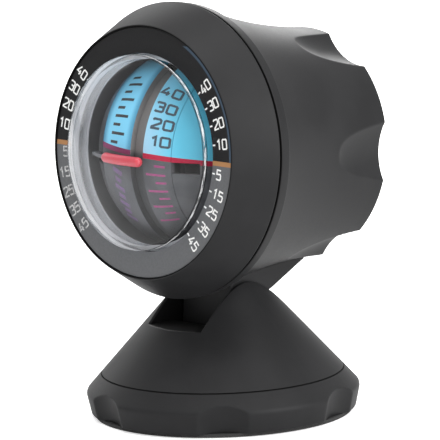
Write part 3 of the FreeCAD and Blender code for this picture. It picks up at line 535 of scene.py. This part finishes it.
bezel = turned("bezel", [
    (RIM, RING_HOLE, 0.1), (RIM, RIM_RADIUS, 0.35), (SEAM, BEZEL_RADIUS, 0.35),
    (SEAM, GROOVE_FLOOR, 0.1), (GROOVE_BACK, GROOVE_FLOOR, 0), (GROOVE_BACK, SOCKET_BORE, 0),
    (SOCKET_END, SOCKET_BORE, 0.1), (SOCKET_END, THROAT_BORE, 0.1), (SHELF_BACK, THROAT_BORE, 0.1),
    (SHELF_BACK, SHELF_BORE, 0.1), (SHELF_FRONT, SHELF_BORE, 0.1), (SHELF_FRONT, RING_HOLE, 0.1)])
wear(bezel, housing, gap_painted_shade)
# Painted shade: the seam groove behind the bezel and the gap at its rim by the ring are near black.
shade(bezel, lambda height, radius: (height < SEAM + 0.1 and radius < BEZEL_RADIUS - GAP_EDGE)
      or (height > RIM - 0.6 and radius < RIM_RADIUS - GAP_EDGE))
settle(bezel)
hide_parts("front_bezel")
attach(bezel, "head")

# Scale ring: a flat printed ring under the bezel's rim, black above the horizon and grey below it,
# with a tan mark at each end of the horizon. A thin slate line round its upper right edge is a
# painted highlight.
RING_RADIUS, RING_BORE, RING_THICK = 28.8, 22.8, 0.75
MARK_TOP, MARK_FOOT = 0.35, -0.72
LINE_START, LINE_FULL, LINE_TOP = 28.0, 28.25, 25.5

printed = Finish("ring_print")
spot = printed.millimetres(DIAL_CENTRE, HEAD_TILT)
x, z, y = printed.axes(spot)
speck = printed.noise(spot, 3.0, 2.0)
above, below = (y > MARK_TOP), (y < MARK_FOOT)
grey = printed.blend(speck.fade(0.3, 0.7), paint("5b5c5e"), paint("616264"))
black = printed.blend(speck.fade(0.3, 0.7), paint("171718"), paint("1b1b1c"))
tone = printed.blend(above, printed.blend(below, paint("a0744c"), grey), black)
# Painted highlight: a slate line along the outer edge, on the upper right only.
edge_highlight = printed.reach(x, y).fade(LINE_START, LINE_FULL) * above * (x > 0) * (y < LINE_TOP)
tone = printed.blend(edge_highlight * 0.85, tone, paint("415263"))
ring = turned("dial_ring", [
    (FACE, RING_RADIUS, 0.12), (FACE - RING_THICK, RING_RADIUS, 0),
    (FACE - RING_THICK, RING_BORE, 0), (FACE, RING_BORE, 0.12)])
wear(ring, printed.close(printed.surface(
    Base_Color=tone, Roughness=(speck - 0.5) * 0.1 + 0.42, Specular_IOR_Level=0.15,
    Normal=printed.bump(speck, 0.004, 0.2))))
settle(ring)
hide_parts("scale_ring")
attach(ring, "head")

# Numbers on the ring: screen printed as strokes of even width, in a skin of ink 0.02 mm thick. The
# lower left ones are printed in a greyer ink. Each digit's strokes are in (right, up) places in its
# own box, and each number stands beside a short tick at its angle, in degrees from the reader's
# right.
STROKES = {
    "0": [[(0.14, 0), (0.86, 0), (1, 0.1), (1, 0.9), (0.86, 1), (0.14, 1), (0, 0.9), (0, 0.1),
           (0.14, 0)]],
    "1": [[(0.12, 0.8), (0.55, 1), (0.55, 0)]],
    "2": [[(0, 0.88), (0.14, 1), (0.86, 1), (1, 0.9), (1, 0.62), (0, 0.12), (0, 0), (1, 0)]],
    "3": [[(0, 0.9), (0.14, 1), (0.86, 1), (1, 0.9), (1, 0.62), (0.86, 0.52), (0.35, 0.52)],
          [(0.86, 0.52), (1, 0.42), (1, 0.1), (0.86, 0), (0.14, 0), (0, 0.1)]],
    "4": [[(1, 0.27), (0, 0.27), (0.58, 1)], [(0.72, 0.55), (0.72, 0)]],
    "5": [[(0.95, 1), (0.06, 1), (0.03, 0.56), (0.86, 0.6), (1, 0.48), (1, 0.12), (0.86, 0),
           (0.14, 0), (0, 0.1)]],
}
INK_THICK, RIBBON_STEP, MITRE_LIMIT, SAME_PLACE = 0.02, 0.7, 0.5, 1e-6
RING_DIGIT_WIDTH, RING_DIGIT_HEIGHT, RING_DIGIT_PITCH, RING_STROKE = 1.3, 2.2, 1.75, 0.36
RIGHT_TICK, RIGHT_START = [(23.0, 0), (23.8, 0)], 24.4
LEFT_TICK, LEFT_END = [(-24.5, 0), (-23.7, 0)], -25.25
RIGHT_MARKS = {"10": 9.5, "20": 20.2, "30": 30.5, "40": 40.7,
               "5": -6.3, "15": -16.6, "25": -26.6, "35": -37, "45": -47.6}
LEFT_MARKS = {"10": 170.8, "20": 160.7, "30": 151.2, "40": 141.8,
              "5": 184.9, "15": 195.3, "25": 205.0, "35": 214.7, "45": 224.5}


def lettered(text, width, height, pitch):
    """The strokes of a number in millimetres, from its left end, about its middle height."""
    return [[(k * pitch + u * width, (v - 0.5) * height) for u, v in stroke]
            for k, digit in enumerate(text) for stroke in STROKES[digit]]


def ink(name, lines, width, lay, finish, body, place):
    """Prints lines of one width: each becomes a thin ribbon whose corners are mitred. lay gives
    the place of a point of the print, at a height above the surface."""
    pool = bmesh.new()
    for line in lines:
        points = finer([Vector(p) for p in line], RIBBON_STEP)
        closed = (points[0] - points[-1]).length < SAME_PLACE
        if closed:
            points.pop()
        count = len(points)
        rails = []
        for i, p in enumerate(points):
            before = points[i - 1] if closed or i else None
            after = points[(i + 1) % count] if closed or i < count - 1 else None
            a = (p - before).normalized() if before is not None else None
            b = (after - p).normalized() if after is not None else None
            along = ((a or b) + (b or a)).normalized()
            across = Vector((-along.y, along.x))
            grow = 1 / max(MITRE_LIMIT, across.dot(Vector((-(b or a).y, (b or a).x))))
            push = across * (width / 2 * grow)
            rails.append([pool.verts.new(Vector(lay(*(p + push * s), h)) * MM)
                          for s, h in ((1, INK_THICK), (-1, INK_THICK),
                                       (-1, -INK_THICK), (1, -INK_THICK))])
        for i in range(count if closed else count - 1):
            j = (i + 1) % count
            for k in range(4):
                n = (k + 1) % 4
                pool.faces.new((rails[i][k], rails[i][n], rails[j][n], rails[j][k]))
        if not closed:
            pool.faces.new(rails[0])
            pool.faces.new(list(reversed(rails[-1])))
    bmesh.ops.recalc_face_normals(pool, faces=pool.faces)
    mesh = bpy.data.meshes.new(name)
    pool.to_mesh(mesh)
    pool.free()
    piece = stand(name, mesh, place)
    wear(piece, finish)
    settle(piece)
    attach(piece, body)


def screen_ink(name, colour, worn):
    film = Finish(name)
    patch = film.noise(film.millimetres(), 2.5, 3.0)
    return film.close(film.surface(
        Base_Color=film.blend(patch.fade(0.35, 0.65), paint(colour), paint(worn)),
        Roughness=(patch - 0.5) * 0.1 + 0.45))


def on_ring(u, v, height):
    return (u, v, FACE + height)


fresh, faint = [], []
for marks, tick, hand in ((RIGHT_MARKS, RIGHT_TICK, 1), (LEFT_MARKS, LEFT_TICK, -1)):
    for text, angle in marks.items():
        reach = hand * Vector((math.cos(math.radians(angle)), math.sin(math.radians(angle))))
        rise = Vector((-reach.y, reach.x))
        start = RIGHT_START
        if hand < 0:
            start = LEFT_END - RING_DIGIT_WIDTH - RING_DIGIT_PITCH * (len(text) - 1)
        digits = lettered(text, RING_DIGIT_WIDTH, RING_DIGIT_HEIGHT, RING_DIGIT_PITCH)
        for stroke in [tick] + [[(u + start, v) for u, v in s] for s in digits]:
            (faint if angle > 180 else fresh).append(
                [tuple(reach * u + rise * v) for u, v in stroke])
for name, lines, film in (
        ("dial_numbers", fresh, screen_ink("white_ink", "f0f0ee", "dcdcda")),
        ("dial_numbers_faint", faint, screen_ink("faint_ink", "c4c4c4", "8e8e8e"))):
    ink(name, lines, RING_STROKE, on_ring, film, "head", DIAL)

# Dome: the clear acrylic window, a straight foot through the ring with a shallow cap on it. Looked
# at from inside, the foot's wall is a white sheet of painted light, for the light it pipes; the cap
# is clear and shows gloss and a darker line where it is seen edge on. Its rounded edge is painted
# dark with a painted bright glint. A rubber seal is squeezed behind its flange.
DOME_SKIRT, DOME_FOOT, DOME_RADIUS, DOME_WALL = 22.6, 2.58, 32.0, 1.2
DOME_SEAT, DOME_BACK, DOME_FLANGE = 25.8, 24.5, 26.0
DOME_BORE, DOME_TIP = DOME_SKIRT - DOME_WALL, 0.02
DOME_STEPS, CAP_STEPS, CAP_JOIN = 256, 36, 3
EDGE_BAND, EDGE_ROUND, EDGE_ROUND_INSIDE, EDGE_STEP = 1.2, 0.7, 0.5, 0.2
WALL_OUTSIDE, WALL_INSIDE, EDGE_FACES = 1, 2, 3
crease = FACE + DOME_FOOT
dome_centre = crease - math.sqrt(DOME_RADIUS ** 2 - DOME_SKIRT ** 2)


def cap_arc(radius, skirt):
    """From the cap's edge to its top, as (height, radius)."""
    angles = [math.asin(skirt / radius) * (1 - k / CAP_STEPS) for k in range(CAP_STEPS)]
    return [(dome_centre + radius * math.cos(a), radius * math.sin(a)) for a in angles]


def see_through(finish, gloss, index):
    """Clear plastic that mirrors a little from outside and darkens where it is seen edge on."""
    behind = finish.add("ShaderNodeNewGeometry", out="Backfacing")
    sheen = finish.add("ShaderNodeFresnel", None, {"IOR": index}) * (1 - behind) * gloss
    edge_on = finish.add("ShaderNodeLayerWeight", None, {"Blend": 0.5}, out="Facing")
    seen = finish.mix(edge_on.fade(0.72, 0.98) * 0.85, finish.tinted("fcfdff"),
                      finish.tinted("8f969d"))
    smear = finish.noise(finish.millimetres(), 0.15, 2.0)
    mirror = finish.add("ShaderNodeBsdfGlossy", None, {"Color": white, "Roughness": 0.08})
    return finish.mix(sheen * (smear * 0.5 + 0.75), seen, mirror), behind


def wall_finish(name, from_inside):
    """The foot's wall: a white sheet of painted light where it is looked at from inside the dome,
    clear from outside.
    """
    wall = Finish(name)
    shine, behind = see_through(wall, 0.5, 1.4)
    x, deep, y = wall.axes(wall.millimetres(DIAL_CENTRE, HEAD_TILT))
    z = deep * -1.0
    streak = wall.noise(wall.joined(X=x * 0.25, Y=y * 0.25, Z=z * 2.0), 1.0, 3.0)
    toward = (1 - behind) if from_inside else behind
    # Painted light: whiter above the ring's face, dim behind it, and brighter again at the foot's
    # lowest part.
    light = (z.fade(27.2, 27.9) * 0.56 + (z < 25.0) * 0.4 + 0.2) * (streak * 0.5 + 0.75)
    painted_light_sheet = wall.surface(Base_Color=paint("fafafa"), Roughness=0.4)
    return wall.close(wall.mix(toward * light, shine, painted_light_sheet))


def edge_finish():
    """The rounded edge between foot and cap: painted dark, with a painted bright broken glint in
    it, and bright wherever it is seen from behind.
    """
    rim = Finish("dome_edge")
    x, deep, y = rim.axes(rim.millimetres(DIAL_CENTRE, HEAD_TILT))
    z = deep * -1.0
    streak = rim.noise(rim.joined(X=x * 0.35, Y=y * 0.35, Z=z * 4.0), 1.0, 4.0, 0.7)
    # Painted highlight: a broken bright glint in a narrow band just under the crease, on a painted
    # dark edge.
    band = z.fade(crease - 0.8, crease - 0.7) * z.fade(crease - 0.1, crease - 0.2)
    bright = band * streak.fade(0.42, 0.56)
    # Painted highlight: the edge is bright wherever it is seen from behind.
    bright = bright.work("MAXIMUM", rim.add("ShaderNodeNewGeometry", out="Backfacing"))
    painted_glint = rim.surface(Base_Color=rim.blend(bright, paint("0c0d0f"), paint("f0f1f2")),
                         Roughness=0.25)
    return rim.close(rim.mix(streak.fade(0.3, 0.6) * 0.5 + 0.25, rim.tinted("fcfdff"), painted_glint))


outer = cap_arc(DOME_RADIUS, DOME_SKIRT)
inner = cap_arc(DOME_RADIUS - DOME_WALL, DOME_BORE)
edge = soften([(FACE, DOME_SKIRT, 0), (*outer[0], EDGE_ROUND), (*outer[CAP_JOIN], 0)])[1:-1]
edge = finer([Vector((crease - EDGE_BAND, DOME_SKIRT))] + edge, EDGE_STEP)
inside = soften([(FACE, DOME_BORE, 0), (*inner[0], EDGE_ROUND_INSIDE), (*inner[CAP_JOIN], 0)])[1:-1]
dome_rows = [(DOME_BACK, DOME_FLANGE), (DOME_SEAT, DOME_FLANGE), (DOME_SEAT, DOME_SKIRT),
             (FACE, DOME_SKIRT)]
dome_rows += [tuple(p) for p in edge] + outer[CAP_JOIN:]
dome_rows += [(dome_centre + DOME_RADIUS, DOME_TIP),
              (dome_centre + DOME_RADIUS - DOME_WALL, DOME_TIP)]
dome_rows += inner[:CAP_JOIN - 1:-1] + [tuple(p) for p in reversed(inside)]
dome_rows += [(DOME_BACK, DOME_BORE)]
dome = skin("dome_window", dome_rows, DIAL, DOME_STEPS)
clear = Finish("clear_acrylic")
wear(dome, clear.close(see_through(clear, 0.8, 1.45)[0]), wall_finish("dome_wall_outside", False),
     wall_finish("dome_wall_inside", True), edge_finish())
for polygon in dome.data.polygons:
    height, radius = polygon.center.z / MM, polygon.center.xy.length / MM
    if radius > DOME_BORE - 0.1 and height < crease + 0.3:
        outside = radius > DOME_SKIRT - 0.75
        polygon.material_index = WALL_OUTSIDE if outside else WALL_INSIDE
        if outside and height > crease - EDGE_BAND:
            polygon.material_index = EDGE_FACES
settle(dome)
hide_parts("dome_lens")
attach(dome, "head")

rubber = Finish("seal_rubber")
cloud = rubber.noise(rubber.millimetres(), 2.0, 3.0)
dress("dome_gasket", rubber.close(rubber.surface(
    Base_Color=rubber.blend(cloud, paint("1b1b1b"), paint("262626")), Roughness=0.75,
    Normal=rubber.bump(cloud, 0.03, 0.4))))

# Ball: two fixed caps and the pitch drum between them, moulded in white and printed sky blue above
# the horizon and grey below it, with a crimson line between. The left of the drum is a strip of its
# own, and a bare grey groove runs between the strip and the numbers. The strip's sky is painted
# darker towards its edges as shade, and left of the strip the ball is painted dark grey as shade.
BALL_CENTRE = (0.0, -0.0040189, 0.0626809)
BALL_RADIUS, STRIP_LEFT, GROOVE_LEFT, GROOVE_RIGHT = 24.0, -11.2, 0.8, 4.5
HORIZON_HEIGHT, HORIZON_DROP, HORIZON_HALF = 0.3, 0.07, 0.6

ball = Finish("ball_print")
place = ball.millimetres(BALL_CENTRE, HEAD_TILT)
x, y, z = ball.axes(place)
cloud = ball.noise(place, 0.12, 3.0)
speck = ball.noise(place, 0.5, 2.0)
over = z - (HORIZON_HEIGHT - HORIZON_DROP * x)
strip, far_left = (x < GROOVE_LEFT), (x < STRIP_LEFT)
in_groove = (x > GROOVE_LEFT - 0.02) * (x < GROOVE_RIGHT - 0.02)

cap_sky = ball.blend(z.fade(2.0, 16.0), paint("a0c8da"), paint("84cbe2"))
cap_sky = ball.blend(x.fade(4.0, 13.0), cap_sky, paint("66c4db"))
# Painted shade: the strip's blue darkens towards its left edge and towards the groove.
strip_sky_shaded = ball.blend(x.fade(-11.0, -8.0) * (1 - x.fade(-1.4, 0.8)), paint("4f93b0"),
                       paint("7ecbe5"))
# Painted shade: left of the strip the sky, ground and horizon line are all dark grey.
left_painted_shade = ball.blend(z.fade(4.0, 16.0), paint("424244"), paint("5f7482"))
sky = ball.blend(far_left, ball.blend(strip, cap_sky, strip_sky_shaded), left_painted_shade)
ground = ball.blend(cloud.fade(0.35, 0.7), paint("4d4d4e"), paint("606061"))
ground = ball.blend(far_left, ground, paint("474748"))
line = ball.blend(strip, paint("b3223f"), paint("82305a"))
line = ball.blend(far_left, line, paint("454546"))
groove = ball.blend(over.fade(-1.0, 1.0), paint("484848"), paint("7b7773"))
tone = ball.blend(over.fade(0.5, 0.62), ground, sky)
tone = ball.blend((abs(over) < HORIZON_HALF), tone, line)
tone = ball.blend(in_groove, tone, groove)
ball_print = ball.close(ball.surface(
    Base_Color=tone, Roughness=(speck - 0.5) * 0.06 + 0.5, Specular_IOR_Level=0.1))
for node in ("right_cap", "left_cap", "pitch_drum"):
    dress(node, ball_print)

# Numbers and ticks on the drum: printed on its curved face, so each place is worked out on the
# ball. A mark's height is measured along an arc of one radius. The ticks stand every 5 degrees
# and are longer at each 10; those low on the drum are magenta, and blurred purple on the strip.
BALL = leaning(BALL_CENTRE)
DRUM_ARC = 22.6
DRUM_DIGIT_WIDTH, DRUM_DIGIT_HEIGHT, DRUM_PITCH, DRUM_PITCH_10 = 2.05, 2.15, 2.95, 2.4
DRUM_MARKS = (("10", 6.3, 8.6), ("20", 5.75, 18.8), ("30", 5.3, 28.7), ("40", 5.0, 39.0))


def on_drum(u, v, height):
    """A place on the ball: u to the right, v up along the arc."""
    lift = (BALL_RADIUS + height) / BALL_RADIUS
    around = math.sqrt(BALL_RADIUS ** 2 - u * u)
    angle = v / DRUM_ARC
    return (u * lift, around * math.sin(angle) * lift, around * math.cos(angle) * lift)


def ticks(degrees, lead, short, long, anchor, share, start_lift, end_lift):
    """A line at each angle, with a share of its length left of the anchor. Its ends are lifted
    by a share of its length."""
    lines = []
    for angle in degrees:
        length = short if angle % 10 else long
        height = math.radians(angle + lead) * DRUM_ARC
        left = anchor - share * length
        lines.append([(left, height + start_lift * length),
                      (left + length, height + end_lift * length)])
    return lines


numbers = []
for text, left, angle in DRUM_MARKS:
    pitch = DRUM_PITCH if text != "10" else DRUM_PITCH_10
    for stroke in lettered(text, DRUM_DIGIT_WIDTH, DRUM_DIGIT_HEIGHT, pitch):
        numbers.append([(u + left, math.radians(angle) * DRUM_ARC + v) for u, v in stroke])
upper, lower = range(5, 50, 5), range(-5, -45, -5)
for name, lines, width, film in (
        ("drum_numbers", numbers, 0.56, screen_ink("slate_ink", "36434c", "46545e")),
        ("pitch_marks", ticks(upper, 0.4, 2.9, 5.0, -6.9, 0, 0, -0.02), 0.64,
         screen_ink("black_ink", "0e1216", "181d22")),
        ("low_pitch_marks", ticks(lower, -0.9, 2.5, 4.7, 9.9, 1, 0.04, -0.04), 0.5,
         screen_ink("magenta_ink", "a2356f", "873566")),
        ("low_strip_marks", ticks(lower, -0.9, 2.2, 3.4, -4.2, 0.5, 0.15, -0.15), 1.1,
         screen_ink("purple_ink", "6b3d78", "564a5c"))):
    ink(name, lines, width, on_drum, film, "drum", BALL)

# Pointer: a coral red bar on a thin dark wire, bent round the ball and fixed to the left cap just
# in front of the drum.
WIRE_END = -7.2

coral = Finish("coral_plastic")
place = coral.millimetres(BALL_CENTRE, HEAD_TILT)
x, y, z = coral.axes(place)
cloud = coral.noise(place, 0.5, 2.0)
red = coral.blend(cloud, paint("c4303d"), paint("cc3f4b"))
dress("pointer_bar", coral.close(coral.surface(
    Base_Color=coral.blend((x < WIRE_END), red, paint("3c3c3d")),
    Roughness=(cloud - 0.5) * 0.1 + 0.35, Coat_Weight=0.2, Normal=coral.bump(cloud, 0.05, 0.2))))

# Capsule: the black cup behind the ball, paler on its left, which catches the light, and the
# yoke of the same plastic that carries the drum.
cup = Finish("capsule_black")
place = cup.millimetres()
cloud = cup.noise(place, 0.3, 3.0)
x, y, z = cup.axes(place)
lit = cup.blend(cloud, paint("646465"), paint("757577"))
cup_black = cup.close(cup.surface(
    Base_Color=cup.blend(x.fade(-6.0, 6.0), lit, paint("141415")),
    Roughness=(cloud - 0.5) * 0.2 + 0.45, Normal=cup.bump(cloud, 0.05, 0.2)))
for node in ("capsule_cup", "roll_yoke"):
    dress(node, cup_black)


# Axles, bushes, weights and fasteners: drawn steel pins, turned brass bushes, cast weights and
# blackened screws. All are bought or turned metal, with fine marks round them.
def metal(name, colour, dull, roughness):
    bare = Finish(name)
    marks = bare.noise(bare.millimetres(), 6.0, 4.0, 0.7)
    return bare.close(bare.surface(
        Base_Color=bare.blend(marks.fade(0.3, 0.7), paint(colour), paint(dull)), Metallic=1.0,
        Roughness=(marks - 0.5) * 0.2 + roughness, Normal=bare.bump(marks, 0.01, 0.3)))


for material, made_of_it in (
        (metal("turned_brass", "c9a35a", "b08c48", 0.3), ("roll_bearing", "pitch_bearings")),
        (metal("drawn_steel", "b9bbbe", "96999c", 0.3),
         ("roll_axle", "roll_axle_clip", "pitch_axle", "tilt_pin", "tilt_nut")),
        (metal("cast_weight", "77787a", "606163", 0.6), ("roll_weights", "pitch_weights")),
        (metal("blackened_steel", "3a3a3c", "29292b", 0.4), ("base_screws", "rear_cover_screws"))):
    for node in made_of_it:
        dress(node, material)

# Friction ring and washers: natural nylon, moulded and left unpainted. They are squeezed under the
# cone and beside the stem, and hold the head where it is put.
nylon = Finish("natural_nylon")
cloud = nylon.noise(nylon.millimetres(), 1.5, 3.0)
white_nylon = nylon.close(nylon.surface(
    Base_Color=nylon.blend(cloud, paint("dcdbd4"), paint("e8e7e1")),
    Roughness=(cloud - 0.5) * 0.15 + 0.5, Normal=nylon.bump(cloud, 0.02, 0.3)))
for node in ("swivel_friction_ring", "tilt_washers"):
    dress(node, white_nylon)
